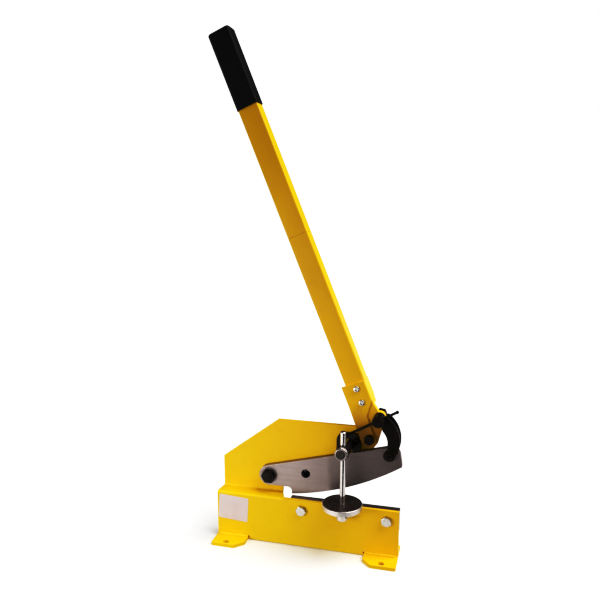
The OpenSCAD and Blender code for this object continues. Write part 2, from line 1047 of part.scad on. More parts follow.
module holddown_disc() {
    color(chrome)
        difference() {
            translate([post_x, -post_forward, 0])
                rotate_extrude()
                    polygon([
                        [0, hub_foot],
                        [hub_r - hub_round, hub_foot],
                        [hub_r - hub_round * 0.3, hub_foot + hub_round * 0.3],
                        [hub_r, hub_foot + hub_round],
                        [hub_r, disc_top - disc_t],
                        [disc_r - disc_edge, disc_top - disc_t],
                        [disc_r, disc_top - disc_t + disc_edge],
                        [disc_r, disc_top - disc_edge],
                        [disc_r - disc_edge, disc_top],
                        [0, disc_top]
                    ]);
            translate([post_x, -post_forward, post_foot])
                cylinder(r = post_d / 2, h = disc_top);
            at_grub_screw()
                cylinder(r = grub_r, h = hub_r + 1);
        }
}

// Places a shape that points along Z at the grub screw, pointing out of the hub
module at_grub_screw() {
    translate([post_x, -post_forward, grub_z])
        rotate([0, 0, grub_azimuth])
            rotate([90, 0, 0])
                children();
}

module holddown_grub_screw() {
    socket_r = 1.7;
    socket_depth = 2.5;
    head_r = hub_r - 0.6;
    color(black_steel)
        at_grub_screw()
            difference() {
                translate([0, 0, post_d / 2 + play])
                    cylinder(r = grub_r, h = head_r - post_d / 2 - play);
                translate([0, 0, head_r - socket_depth])
                    cylinder(r = socket_r, h = socket_depth + 1, $fn = 6);
            }
}

module holddown_knob() {
    edge = 1;
    collar_r = 7;
    collar_len = 1;
    thread_len = knob_thread_len();
    color(black_steel)
        translate([post_x, boss_front_y - play, knob_z])
            rotate([90, 0, 0]) {
                rotate_extrude()
                    polygon([
                        [0, -thread_len],
                        [knob_screw_r, -thread_len],
                        [knob_screw_r, 0],
                        [collar_r, 0],
                        [collar_r, collar_len],
                        [knob_r - edge, collar_len],
                        [knob_r, collar_len + edge],
                        [knob_r, collar_len + knob_len - edge],
                        [knob_r - edge, collar_len + knob_len],
                        [0, collar_len + knob_len]
                    ]);
            }
}

// Length of the clamp screw from the boss face to just short of the post
function knob_thread_len() = -post_forward - post_d / 2 - play - (boss_front_y - play);

frame_plate();
rear_foot_left();
rear_foot_right();
blank_label();
lower_blade();
lower_blade_bolts();
round_bar_bush();
blade_pivot_bush();
blade_pivot_washers();
blade_pivot_bolt();
blade_pivot_nut();
moving_blade();
lever_pivot_bush();
lever_bracket();
lever_nose_plate();
lever_pivot_bolt();
lever_pivot_spacer();
lever_pivot_washers();
lever_pivot_nut();
lever_tube_lower();
lever_tube_upper();
lever_joiner();
lever_grip();
lever_bracket_bolts();
lever_bracket_nuts();
link_front();
link_rear();
link_pin_lower();
link_nut_upper();
lock_screw();
tommy_bar();
holddown_bracket();
holddown_bracket_bolt();
holddown_post();
holddown_disc();
holddown_grub_screw();
holddown_knob();
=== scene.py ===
"""Looks for the hand lever plate shear.

Materials, detailed fasteners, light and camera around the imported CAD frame. Lengths are in metres, except
where a docstring or a comment says mm.
"""
import json
import math

import bmesh
import bpy
from mathutils import Matrix, Vector


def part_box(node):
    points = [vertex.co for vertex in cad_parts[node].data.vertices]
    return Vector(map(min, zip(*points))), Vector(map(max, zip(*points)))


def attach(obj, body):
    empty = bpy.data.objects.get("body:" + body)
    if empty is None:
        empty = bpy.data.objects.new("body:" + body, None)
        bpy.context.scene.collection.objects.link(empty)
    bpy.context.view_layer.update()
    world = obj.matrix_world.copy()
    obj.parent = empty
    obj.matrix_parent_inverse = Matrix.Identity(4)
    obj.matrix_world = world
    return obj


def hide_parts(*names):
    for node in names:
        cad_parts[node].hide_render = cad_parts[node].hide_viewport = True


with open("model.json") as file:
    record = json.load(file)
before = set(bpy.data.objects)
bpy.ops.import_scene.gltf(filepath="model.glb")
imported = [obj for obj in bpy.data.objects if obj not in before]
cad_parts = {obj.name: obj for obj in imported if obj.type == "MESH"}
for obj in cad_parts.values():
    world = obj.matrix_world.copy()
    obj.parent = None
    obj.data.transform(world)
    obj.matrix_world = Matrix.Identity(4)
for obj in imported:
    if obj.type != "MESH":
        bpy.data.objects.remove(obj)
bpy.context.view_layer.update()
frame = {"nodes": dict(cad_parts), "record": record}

NODES = frame["nodes"]
BODY = {n: b for b, ns in frame["record"]["behaviour"]["bodies"].items() for n in ns}
SLOT = {s["node"]: s["material_slot"] for s in frame["record"]["subparts"]}
MM = 0.001
MERGE = 2e-6          # vertices of a CAD node that are closer than this are one
ROUND_FROM = 25       # degrees: outer edges of a CAD node sharper than this are rounded
AROUND = 72           # sides of a bolt head or a nut, a multiple of its six flats
THREAD_AROUND = 48    # sides of a threaded end or a shank
CROWN = 0.475         # radius of a hexagon's chamfer circle, as a share of the width across flats


# ---------------------------------------------------------------- materials

class Graph:
    """A small helper for building a node material."""

    def __init__(self, name):
        self.mat = bpy.data.materials.new(name)
        self.mat.use_nodes = True
        self.tree = self.mat.node_tree
        self.tree.nodes.clear()
        self.out = self.tree.nodes.new("ShaderNodeOutputMaterial")
        self.bsdf = self.tree.nodes.new("ShaderNodeBsdfPrincipled")
        self.link(self.bsdf.outputs[0], self.out.inputs["Surface"])
        self.coord = self.tree.nodes.new("ShaderNodeTexCoord").outputs["Object"]

    def link(self, a, b):
        self.tree.links.new(a, b)

    def node(self, kind, **inputs):
        n = self.tree.nodes.new(kind)
        for key, value in inputs.items():
            self.put(n.inputs[key.replace("_", " ")], value)
        return n

    def put(self, socket, value):
        if isinstance(value, bpy.types.NodeSocket):
            self.link(value, socket)
        elif isinstance(value, (tuple, list)) and len(value) == 3 and socket.type == "RGBA":
            socket.default_value = (*value, 1)
        else:
            socket.default_value = value

    def noise(self, scale, detail=3, rough=0.55, stretch=(1, 1, 1), rotate=(0, 0, 0), warp=0.0):
        m = self.node("ShaderNodeMapping", Scale=stretch, Rotation=rotate)
        self.link(self.coord, m.inputs["Vector"])
        n = self.node("ShaderNodeTexNoise", Scale=scale, Detail=detail, Roughness=rough, Distortion=warp)
        self.link(m.outputs[0], n.inputs["Vector"])
        return n.outputs["Fac"]

    def split(self, vector):
        """The X, Y and Z of a vector."""
        n = self.node("ShaderNodeSeparateXYZ")
        self.link(vector, n.inputs[0])
        return n.outputs

    def facing(self):
        """The X, Y and Z of the flat face's own normal."""
        return self.split(self.tree.nodes.new("ShaderNodeNewGeometry").outputs["True Normal"])

    def ramp(self, value, low, high, a=0.0, b=1.0):
        """A smooth step from a to b as the value goes from low to high."""
        n = self.node("ShaderNodeMapRange")
        n.interpolation_type = "SMOOTHSTEP"
        self.put(n.inputs["Value"], value)
        n.inputs["From Min"].default_value = low
        n.inputs["From Max"].default_value = high
        n.inputs["To Min"].default_value = a
        n.inputs["To Max"].default_value = b
        return n.outputs[0]

    def math(self, op, a, b=0.0, c=0.0):
        n = self.node("ShaderNodeMath")
        n.operation = op
        for i, v in enumerate((a, b, c)):
            self.put(n.inputs[i], v)
        return n.outputs[0]

    def mix(self, fac, a, b):
        n = self.node("ShaderNodeMix")
        n.data_type = "RGBA"
        self.put(n.inputs[0], fac)
        self.put(n.inputs[6], a)
        self.put(n.inputs[7], b)
        return n.outputs[2]

    def bump(self, height, strength, distance, normal=None):
        n = self.node("ShaderNodeBump", Strength=strength, Distance=distance)
        self.link(height, n.inputs["Height"])
        if normal is not None:
            self.link(normal, n.inputs["Normal"])
        return n.outputs[0]

    def edges(self, radius):
        """Bright near the sharp edges of the mesh."""
        b = self.tree.nodes.new("ShaderNodeBevel")
        b.samples = 4
        b.inputs["Radius"].default_value = radius
        g = self.tree.nodes.new("ShaderNodeNewGeometry")
        d = self.node("ShaderNodeVectorMath")
        d.operation = "DOT_PRODUCT"
        self.link(b.outputs[0], d.inputs[0])
        self.link(g.outputs["Normal"], d.inputs[1])
        return self.math("SUBTRACT", 1.0, d.outputs["Value"])

    def set(self, **inputs):
        for key, value in inputs.items():
            self.put(self.bsdf.inputs[key.replace("_", " ")], value)


RUBBED_BROWN = (0.20, 0.12, 0.035)
CHIP_BROWN = (0.10, 0.07, 0.04)
# painted shade: the brown that darkens the lever low down near its pivot
PIVOT_SHADE_BROWN = (0.30, 0.12, 0.012)
PIVOT_SHADE_FROM, PIVOT_SHADE_TO = 0.236, 0.30    # heights between which the painted shade round the lever's pivot fades out


def paint(name, base, deep, low, high, lever_light_and_shade=0.0):
    """Semi-gloss enamel with orange peel, small chips and rubbed edges.

    The colour goes from base to deep along a slanted line, between the places low and high: painted shade,
    darker towards the right and the top, where the light falls off. For the lever, the sides are painted a
    lighter yellow where the light catches them, and a painted brown shade darkens every face low down near
    the pivot, by the given strength.
    """
    g = Graph(name)
    at = g.split(g.coord)
    place = g.math("MULTIPLY_ADD", at["Z"], 0.7, at["X"])
    place = g.math("MULTIPLY_ADD", g.noise(7, 3), 0.12, place)
    # painted shade: darker towards the right and the top, where the light falls off
    painted_falloff = g.ramp(place, low, high)
    colour = g.mix(painted_falloff, base, deep)
    dust = g.ramp(g.noise(55, 5, 0.65), 0.52, 0.8, 0, 0.16)
    colour = g.mix(dust, colour, tuple(c * 0.62 for c in base))
    if lever_light_and_shade:
        # painted light: the sides, which face neither front nor back, get a lighter yellow than the front and
        # back
        flat = g.ramp(g.math("ABSOLUTE", g.facing()["Y"]), 0.35, 0.9)
        colour = g.mix(flat, (base[0], base[1] * 1.12, base[2]), colour)
        # painted shade: every face goes brown low down near the lever's pivot
        pivot_shade_height = g.math("MULTIPLY_ADD", g.noise(18, 4), 0.03, at["Z"])
        colour = g.mix(g.ramp(pivot_shade_height, PIVOT_SHADE_FROM, PIVOT_SHADE_TO, lever_light_and_shade, 0), colour, PIVOT_SHADE_BROWN)
    edge = g.edges(0.0011)
    rub = g.ramp(g.math("MULTIPLY_ADD", g.noise(90, 4, 0.6), 0.9, edge), 0.86, 0.96)
    colour = g.mix(g.math("MULTIPLY", rub, 0.75), colour, RUBBED_BROWN)
    chips = g.ramp(g.noise(260, 2, 0.5), 0.765, 0.785)
    colour = g.mix(g.math("MULTIPLY", chips, 0.6), colour, CHIP_BROWN)
    rough = g.ramp(g.noise(22, 4), 0.3, 0.75, 0.30, 0.44)
    n = g.bump(g.noise(420, 2, 0.4), 0.12, 0.0004)
    n = g.bump(rub, 0.35, 0.0003, n)
    g.set(Base_Color=colour, Roughness=rough, Normal=n, Coat_Weight=0.04, Coat_Roughness=0.16,
          Specular_IOR_Level=0.18)
    return g.mat


def ground_steel(name, base, dark, along="x", rough=0.34):
    """Ground steel with fine marks along one direction and faint oily stains."""
    g = Graph(name)
    stretch = {"x": (0.02, 1, 1), "y": (1, 0.03, 1)}[along]
    marks = g.noise(1500, 3, 0.7, stretch)
    broad = g.noise(160, 3, 0.6, stretch)
    stain = g.ramp(g.noise(16, 5, 0.6, (1, 1, 1), warp=0.6), 0.42, 0.75)
    colour = g.mix(g.ramp(broad, 0.3, 0.7), base, tuple(c * 0.84 for c in base))
    colour = g.mix(g.math("MULTIPLY", stain, 0.45), colour, dark)
    edge = g.ramp(g.edges(0.0008), 0.05, 0.3, 0, 0.5)
    colour = g.mix(edge, colour, tuple(min(1, c * 1.5) for c in base))
    r = g.math("ADD", g.ramp(marks, 0.25, 0.75, rough - 0.08, rough + 0.10), g.math("MULTIPLY", stain, 0.08))
    n = g.bump(marks, 0.18, 0.00025)
    n = g.bump(broad, 0.10, 0.0004, n)
    g.set(Base_Color=colour, Metallic=1.0, Roughness=r, Normal=n, Anisotropic=0.4)
    return g.mat


def blade_face(name):
    """The moving blade: ground lengthwise, with painted shade and dark reflection where the links work."""
    g = Graph(name)
    stretch, slant = (0.02, 1, 1), (0, 0.26, 0)
    marks = g.noise(1500, 3, 0.7, stretch, slant)
    broad = g.noise(420, 3, 0.6, stretch, slant)
    darkening_place = g.math("MULTIPLY_ADD", g.noise(14, 4, 0.6), 0.05, g.split(g.coord)["X"])
    # painted shade and dark reflection: darker towards the link end, and a painted dark band of reflection at
    # X 60 to 74 mm
    dark_from, dark_to, band_from, band_to = -0.02, 0.05, 0.060, 0.074
    painted_dark_reflection = g.ramp(darkening_place, dark_from, dark_to, 0, 0.30)
    painted_dark_reflection = g.math("ADD", painted_dark_reflection, g.ramp(darkening_place, band_from, band_to, 0, 0.32))
    colour = g.mix(g.ramp(broad, 0.3, 0.7), (0.335, 0.285, 0.272), (0.305, 0.258, 0.245))
    colour = g.mix(painted_dark_reflection, colour, (0.135, 0.108, 0.100))
    stain = g.ramp(g.noise(30, 5, 0.62, warp=0.7), 0.55, 0.78, 0, 0.3)
    colour = g.mix(stain, colour, (0.16, 0.13, 0.12))
    edge = g.ramp(g.edges(0.0009), 0.05, 0.3, 0, 0.55)
    colour = g.mix(edge, colour, (0.62, 0.58, 0.56))
    r = g.ramp(marks, 0.25, 0.75, 0.34, 0.52)
    n = g.bump(marks, 0.16, 0.00025)
    n = g.bump(broad, 0.10, 0.0004, n)
    g.set(Base_Color=colour, Metallic=1.0, Roughness=r, Normal=n, Anisotropic=0.35)
    return g.mat


def black_oxide(name, base=(0.015, 0.012, 0.0105), rough=0.40, worn=(0.13, 0.11, 0.10)):
    """Blackened steel: satin, with brown-grey rubbed edges."""
    g = Graph(name)
    tone = g.ramp(g.noise(60, 5, 0.6), 0.35, 0.72)
    colour = g.mix(tone, base, tuple(c * 2.1 for c in base))
    edge = g.math("MULTIPLY_ADD", g.noise(210, 4, 0.6), 0.6, g.edges(0.0009))
    rub = g.ramp(edge, 0.62, 0.86, 0, 0.75)
    colour = g.mix(rub, colour, worn)
    r = g.ramp(g.noise(130, 4), 0.3, 0.7, rough - 0.07, rough + 0.12)
    n = g.bump(g.noise(900, 2, 0.5), 0.15, 0.0003)
    g.set(Base_Color=colour, Metallic=0.85, Roughness=r, Normal=n, Specular_IOR_Level=0.3)
    return g.mat


def casting(name):
    """Black painted iron casting with a sandy skin."""
    g = Graph(name)
    skin = g.noise(380, 5, 0.7)
    tone = g.ramp(g.noise(45, 5, 0.6), 0.35, 0.7)
    colour = g.mix(tone, (0.010, 0.008, 0.007), (0.026, 0.021, 0.018))
    rub = g.ramp(g.math("MULTIPLY_ADD", g.noise(170, 4, 0.6), 0.6, g.edges(0.0014)), 0.66, 0.9, 0, 0.6)
    colour = g.mix(rub, colour, (0.12, 0.105, 0.095))
    r = g.ramp(skin, 0.3, 0.7, 0.38, 0.60)
    n = g.bump(skin, 0.55, 0.0006)
    g.set(Base_Color=colour, Metallic=0.1, Roughness=r, Normal=n, Specular_IOR_Level=0.25)
    return g.mat


def bright_plate(name, base, rough, along=(1, 1, 1), dull=(0.30, 0.28, 0.27)):
    """Zinc or chrome plate with fine marks and dull spots."""
    g = Graph(name)
    spots = g.ramp(g.noise(95, 5, 0.65), 0.5, 0.8, 0, 0.55)
    colour = g.mix(spots, base, dull)
    r = g.ramp(g.noise(240, 4, 0.6, along), 0.3, 0.7, rough - 0.06, rough + 0.10)
    n = g.bump(g.noise(1300, 3, 0.6, along), 0.10, 0.0002)
    g.set(Base_Color=colour, Metallic=1.0, Roughness=r, Normal=n)
    return g.mat


def turned(name, centre):
    """Turned disc: rings of tool marks, with a painted reflection: a dark top and a bright rim."""
    rim, top = (0.60, 0.56, 0.53), (0.17, 0.135, 0.118)
    ring_rate = 7800.0    # radians per metre of radius: a tool mark each 0.8 mm
    g = Graph(name)
    off = g.node("ShaderNodeVectorMath")
    off.operation = "SUBTRACT"
    g.link(g.coord, off.inputs[0])
    off.inputs[1].default_value = centre
    x, y, _ = g.split(off.outputs[0])
    radius = g.math("SQRT", g.math("ADD", g.math("MULTIPLY", x, x), g.math("MULTIPLY", y, y)))
    ring = g.math("SINE", g.math("MULTIPLY", radius, ring_rate))
    # painted reflection: faces that look up get the dark colour, and the rim the bright one
    up = g.ramp(g.facing()["Z"], 0.6, 0.9)
    blotch = g.ramp(g.noise(48, 5, 0.6, warp=0.5), 0.35, 0.75)
    dark = g.mix(blotch, top, tuple(c * 1.9 for c in top))
    light = g.mix(g.ramp(g.noise(130, 4, 0.6, (1, 1, 6)), 0.5, 0.8, 0, 0.4), rim, (0.34, 0.31, 0.30))
    colour = g.mix(up, light, dark)
    edge = g.ramp(g.edges(0.0009), 0.05, 0.3, 0, 0.7)
    colour = g.mix(edge, colour, rim)
    n = g.bump(g.math("MULTIPLY", ring, up), 0.10, 0.0001)
    n = g.bump(g.noise(700, 3, 0.6), 0.06, 0.0002, n)
    r = g.ramp(g.noise(150, 3), 0.3, 0.7, 0.22, 0.34)
    r = g.math("ADD", r, g.math("MULTIPLY_ADD", up, -0.16, 0.16))
    g.set(Base_Color=colour, Metallic=1.0, Roughness=r, Normal=n, Anisotropic=0.3)
    return g.mat


def rubber(name):
    """Moulded rubber: fine grain, a little dusty bloom."""
    g = Graph(name)
    bloom = g.ramp(g.noise(30, 5, 0.65), 0.45, 0.8, 0, 0.35)
    colour = g.mix(bloom, (0.0065, 0.0063, 0.0063), (0.015, 0.0145, 0.014))
    r = g.ramp(g.noise(75, 4), 0.3, 0.7, 0.46, 0.60)
    n = g.bump(g.noise(1100, 3, 0.6), 0.22, 0.0003)
    g.set(Base_Color=colour, Roughness=r, Normal=n, Specular_IOR_Level=0.14)
    return g.mat


def sticker(name):
    """Plain coated paper, slightly mottled."""
    g = Graph(name)
    tone = g.ramp(g.noise(40, 4, 0.6), 0.35, 0.75)
    colour = g.mix(tone, (0.745, 0.64, 0.615), (0.70, 0.595, 0.57))
    specks = g.ramp(g.noise(420, 2, 0.5), 0.72, 0.76, 0, 0.35)
    colour = g.mix(specks, colour, (0.50, 0.40, 0.32))
    n = g.bump(g.noise(110, 3, 0.5), 0.10, 0.0004)
    g.set(Base_Color=colour, Roughness=0.42, Normal=n, Coat_Weight=0.2, Coat_Roughness=0.25)
    return g.mat


M = {
    # painted shade in both yellows, darker to the right and top; stronger on the lever, with painted sides and
    # pivot shade
    "yellow_paint": paint("yellow enamel", (0.92, 0.61, 0.005), (0.83, 0.465, 0.003), -0.05, 0.5),
    "lever_paint": paint("yellow enamel of the lever", (0.94, 0.575, 0.004), (0.53, 0.285, 0.002), 0.22, 0.62,
                         lever_light_and_shade=0.85),
    "label": sticker("blank label"),
    "blade_steel": ground_steel("lower blade steel", (0.42, 0.34, 0.30), (0.16, 0.12, 0.10)),
    "moving_blade": blade_face("moving blade steel"),
    "bare_steel": ground_steel("turned bare steel", (0.42, 0.40, 0.38), (0.15, 0.12, 0.10), "y"),
    "zinc": bright_plate("zinc plate", (0.53, 0.51, 0.475), 0.24),
    "black_steel": black_oxide("black oxide"),
    "washers": ground_steel("washer steel", (0.26, 0.225, 0.21), (0.10, 0.085, 0.08), "y", 0.42),
    "links": black_oxide("black link steel", (0.016, 0.0125, 0.010), 0.44, (0.20, 0.155, 0.125)),
    "black_casting": casting("black casting"),
    "chrome": bright_plate("chromed rod", (0.60, 0.575, 0.56), 0.15, (1, 1, 0.12), (0.34, 0.31, 0.295)),
    "grip_rubber": rubber("grip rubber"),
}


# ---------------------------------------------------------------- mesh helpers

def new_object(name, data):
    """An object in the scene for a mesh, a light or a camera."""
    ob = bpy.data.objects.new(name, data)
    bpy.context.scene.collection.objects.link(ob)
    return ob


def add(name, bm, mat, body, replaces=(), smooth=30, weighted=True):
    """Turns a bmesh into a shown piece that rides on a body."""
    bmesh.ops.recalc_face_normals(bm, faces=bm.faces)
    me = bpy.data.meshes.new(name)
    bm.to_mesh(me)
    bm.free()
    me.materials.append(mat)
    me.polygons.foreach_set("use_smooth", [True] * len(me.polygons))
    me.set_sharp_from_angle(angle=math.radians(smooth))
    ob = new_object(name, me)
    if weighted:
        mod = ob.modifiers.new("weighted normals", "WEIGHTED_NORMAL")
        mod.keep_sharp = True
        mod.weight = 80
    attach(ob, body)
    if replaces:
        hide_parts(*replaces)


def shown(node, bm, mat, smooth=30):
    """Turns a bmesh into the piece that is shown instead of a CAD node."""
    add(node + ".shown", bm, mat, BODY[node], (node,), smooth)


def cad_mesh(node):
    """A CAD node's mesh with its doubled vertices merged."""
    bm = bmesh.new()
    bm.from_mesh(NODES[node].data)
    bmesh.ops.remove_doubles(bm, verts=bm.verts, dist=MERGE)
    return bm


def refine(node, mat=None, *, width, segments=2):
    """A copy of a CAD node with its planar triangles merged and its outer edges rounded, by a width in mm."""
    bm = cad_mesh(node)
    bmesh.ops.dissolve_limit(bm, angle_limit=math.radians(0.15), verts=bm.verts, edges=bm.edges,
                             delimit={"NORMAL"})
    bmesh.ops.recalc_face_normals(bm, faces=bm.faces)
    picked = [e for e in bm.edges
              if len(e.link_faces) == 2 and e.is_convex and e.calc_face_angle(0) >= math.radians(ROUND_FROM)]
    if picked and width:
        bmesh.ops.bevel(bm, geom=picked, offset=width * MM, offset_type="OFFSET", segments=segments,
                        profile=0.5, affect="EDGES", clamp_overlap=True, loop_slide=True)
    shown(node, bm, mat or M[SLOT[node]], smooth=32)


def join(bm, a, b):
    """Faces between two rings of as many vertices."""
    n = len(a)
    for i in range(n):
        j = (i + 1) % n
        bm.faces.new((a[i], a[j], b[j], b[i]))


def grid(bm, rows):
    """Faces between rows of points that each go round once."""
    made = [[bm.verts.new(p) for p in row] for row in rows]
    for a, b in zip(made, made[1:]):
        join(bm, a, b)
    return made


def closed(bm, rows):
    """A solid from rows of points, with a flat face on its first and its last row."""
    made = grid(bm, rows)
    bm.faces.new(made[0][::-1])
    bm.faces.new(made[-1])


def circle(r, z, n=AROUND):
    return [Vector((r * math.cos(2 * math.pi * i / n), r * math.sin(2 * math.pi * i / n), z))
            for i in range(n)]


def lathe(bm, profile, n):
    """A solid from (radius, height) pairs that start and end at a radius of 0."""
    made = grid(bm, [circle(r, z, n) for r, z in profile[1:-1]])
    for ring, (_, z) in ((made[0], profile[0]), (made[-1], profile[-1])):
        tip = bm.verts.new((0, 0, z))
        for i in range(n):
            bm.faces.new((ring[i], ring[(i + 1) % n], tip))


def corners(half_w, half_h, r, steps):
    """The points of a rounded rectangle around the origin."""
    for sx, sy, start in ((1, 1, 0), (-1, 1, 90), (-1, -1, 180), (1, -1, 270)):
        for k in range(steps + 1):
            a = math.radians(start + 90 * k / steps)
            yield sx * (half_w - r) + r * math.cos(a), sy * (half_h - r) + r * math.sin(a)


def hex_radius(across, phi):
    """Distance from the middle of a hexagon to its side, in the direction phi."""
    step = math.pi / 3
    return across / 2 / math.cos((phi % step) - step / 2)


def hex_rows(across, z0, z1, bottom=False):
    """Rows for a hexagon with chamfered corners: the flats end in the curved lines a real chamfer leaves."""
    crown = across * CROWN
    slope = math.tan(math.radians(30))

    def sides(z, sign):
        pts = []
        for i in range(AROUND):
            phi = 2 * math.pi * i / AROUND
            r = hex_radius(across, phi)
            pts.append(Vector((r * math.cos(phi), r * math.sin(phi), z - sign * (r - crown) * slope)))
        return pts

    rows = [circle(crown, z0), sides(z0, -1)] if bottom else [sides(z0, 0)]
    return rows + [sides(z1, 1), circle(crown, z1)]


def thread_rows(r, z0, z1, pitch):
    """Rows of a real helical thread between two heights, which runs out at the upper one."""
    rows_per_turn = 8
    steps = max(4, int((z1 - z0) / pitch * rows_per_turn))
    depth = pitch * 0.54
    rows = []
    for k in range(steps + 1):
        z = z0 + (z1 - z0) * k / steps
        fade = min(1, (z1 - z) / pitch * 1.6)
        pts = []
        for i in range(THREAD_AROUND):
            t = (z / pitch + i / THREAD_AROUND) % 1.0
            tri = 1 - abs(2 * t - 1)
            rr = r - depth * (1 - min(1, tri * 1.25)) - (1 - fade) * depth * 0.6
            a = 2 * math.pi * i / THREAD_AROUND
            pts.append(Vector((rr * math.cos(a), rr * math.sin(a), z)))
        rows.append(pts)
    return rows


FRONT = Matrix(((1, 0, 0), (0, 0, -1), (0, 1, 0))).to_4x4()
BACK = Matrix(((1, 0, 0), (0, 0, 1), (0, -1, 0))).to_4x4()


def part(bm, build, x, y, z, facing=FRONT, turn=0.0):
    """Builds a solid along +Z in mm, and places it so that it points out of the front or the back."""
    before = set(bm.verts)
    build(bm)
    place = (Matrix.Translation((x * MM, y * MM, z * MM)) @ Matrix.Rotation(turn, 4, "Y") @ facing
             @ Matrix.Scale(MM, 4))
    bmesh.ops.transform(bm, matrix=place, verts=[v for v in bm.verts if v not in before])


# Each of these makes a build function for part(), in mm.

def spun(profile, n=THREAD_AROUND):
    """A lathed solid."""
    return lambda bm: lathe(bm, profile, n)


def bolt_head(across, height, shank_r, reach):
    """A hex head that starts at z = 0 and rises, with a washer face and a plain shank below it."""
    face_r, face_height = across * CROWN, 0.5
    dish_share, dish_depth = 0.55, 0.02

    def build(bm):
        made = grid(bm, [circle(shank_r, -reach), circle(shank_r, 0.0), circle(face_r, 0.0),
                         circle(face_r, face_height)] + hex_rows(across, face_height, height))
        dish = [bm.verts.new((v.co.x * dish_share, v.co.y * dish_share, height - dish_depth))
                for v in made[-1]]
        join(bm, made[-1], dish)
        bm.faces.new(dish)
        bm.faces.new(made[0][::-1])
    return build


def nut(across, height, bore):
    """A hex nut from z = 0, chamfered on both sides, with a countersunk bore."""
    sink = 0.8

    def build(bm):
        made = grid(bm, [circle(bore, sink), circle(bore + sink, 0.0)]
                    + hex_rows(across, 0.0, height, bottom=True)
                    + [circle(bore + sink, height), circle(bore, height - sink)])
        join(bm, made[-1], made[0])
    return build


def threaded_end(r, start, end, pitch):
    """The threaded end of a bolt from z = start to z = end."""
    point = 0.8
    return lambda bm: closed(bm, thread_rows(r, start, end - point, pitch)
                             + [circle(r - pitch * 0.6, end, THREAD_AROUND)])


def button(r, height, socket):
    """A low round head from z = 0 with a hexagon socket."""
    def build(bm):
        rows = [circle(r, 0), circle(r, height * 0.45)]
        for k in range(1, 6):
            a = k / 6 * math.pi / 2
            rows.append(circle(r - (1 - math.cos(a)) * r * 0.42, height * 0.45 + math.sin(a) * height * 0.53))
        rows.append(circle(socket * 0.62, height * 0.985))
        for z in (height * 0.97, height * 0.35):
            hexagon = []
            for i in range(AROUND):
                phi = 2 * math.pi * i / AROUND
                side = hex_radius(socket, phi)
                hexagon.append(Vector((side * math.cos(phi), side * math.sin(phi), z)))
            rows.append(hexagon)
        closed(bm, rows)
    return build


# ---------------------------------------------------------------- CAD shapes with rounded edges

refine("frame_plate", width=0.9, segments=3)
for side in ("left", "right"):
    refine(f"rear_foot_{side}", width=0.9, segments=3)
refine("lower_blade", M["blade_steel"], width=0.5)
refine("moving_blade", M["moving_blade"], width=0.6)
refine("lever_bracket", M["lever_paint"], width=0.7, segments=3)
refine("lever_nose_plate", M["lever_paint"], width=0.9, segments=3)
refine("lever_tube_lower", M["lever_paint"], width=0.85)
refine("lever_tube_upper", M["lever_paint"], width=0.85)
refine("lever_joiner", width=0.3)
refine("round_bar_bush", M["black_steel"], width=0.5)
refine("blade_pivot_bush", width=0.4)
refine("lever_pivot_bush", width=0.4)
refine("lever_pivot_spacer", width=0.5)
refine("blade_pivot_washers", M["washers"], width=0.4)
refine("lever_pivot_washers", width=0.3)
refine("link_front", M["links"], width=0.9, segments=3)
refine("link_rear", M["links"], width=0.9, segments=3)
refine("lock_screw", width=1.0, segments=3)
refine("holddown_bracket", width=1.4, segments=3)
refine("holddown_grub_screw", width=0.2)
disc_lo, disc_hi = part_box("holddown_disc")
disc_mid = ((disc_lo.x + disc_hi.x) / 2, (disc_lo.y + disc_hi.y) / 2, 0)
refine("holddown_disc", turned("turned disc", disc_mid), width=0.5, segments=3)
refine("holddown_post", width=0.0)
refine("lever_grip", width=1.2, segments=3)


# ---------------------------------------------------------------- fasteners

def box_mid(node):
    """Centre, lowest and highest corner of a node in mm."""
    lo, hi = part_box(node)
    return (lo + hi) / 2 / MM, lo / MM, hi / MM


def loose_parts(node):
    """Centre, lowest and highest corner in mm of each separate solid of a node, left to right."""
    bm = cad_mesh(node)
    left, found = set(bm.verts), []
    while left:
        stack = [left.pop()]
        group = list(stack)
        while stack:
            v = stack.pop()
            for e in v.link_edges:
                o = e.other_vert(v)
                if o in left:
                    left.discard(o)
                    stack.append(o)
                    group.append(o)
        lo = Vector([min(v.co[k] for v in group) for k in range(3)]) / MM
        hi = Vector([max(v.co[k] for v in group) for k in range(3)]) / MM
        found.append(((lo + hi) / 2, lo, hi))
    bm.free()
    return sorted(found, key=lambda f: f[0].x)


ARM_FRONT = -3    # mm: front face of the frame's lower arm

bm = bmesh.new()
for (c, _, _), turn in zip(loose_parts("lower_blade_bolts"), (8, 21)):
    part(bm, bolt_head(across=17, height=6.4, shank_r=5, reach=17), c.x, ARM_FRONT, c.z,
         turn=math.radians(turn))
shown("lower_blade_bolts", bm, M["zinc"])


def pivot_bolt(name, across, r, reach, pitch, turn, nut_turn):
    """A hex bolt from the front with its nut at the back, threaded from 3 mm inside the nut's back face."""
    c, lo, hi = box_mid(name + "_bolt")
    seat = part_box(name + "_washers")[0].y / MM
    nut_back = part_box(name + "_nut")[1].y / MM
    bm = bmesh.new()
    part(bm, bolt_head(across, seat - lo.y, r, reach), c.x, seat, c.z, turn=math.radians(turn))
    part(bm, threaded_end(r, nut_back - 3 - seat - reach, hi.y - seat - reach, pitch), c.x, seat + reach, c.z,
         BACK)
    shown(name + "_bolt", bm, M["black_steel"])
    hex_nut(name + "_nut", across, r, nut_turn)


def hex_nut(node, across, r, turn):
    """A black nut at the back, 0.05 mm clear of its thread."""
    c, lo, hi = box_mid(node)
    bm = bmesh.new()
    part(bm, nut(across, hi.y - lo.y, r + 0.05), c.x, lo.y, c.z, BACK, math.radians(turn))
    shown(node, bm, M["black_steel"])


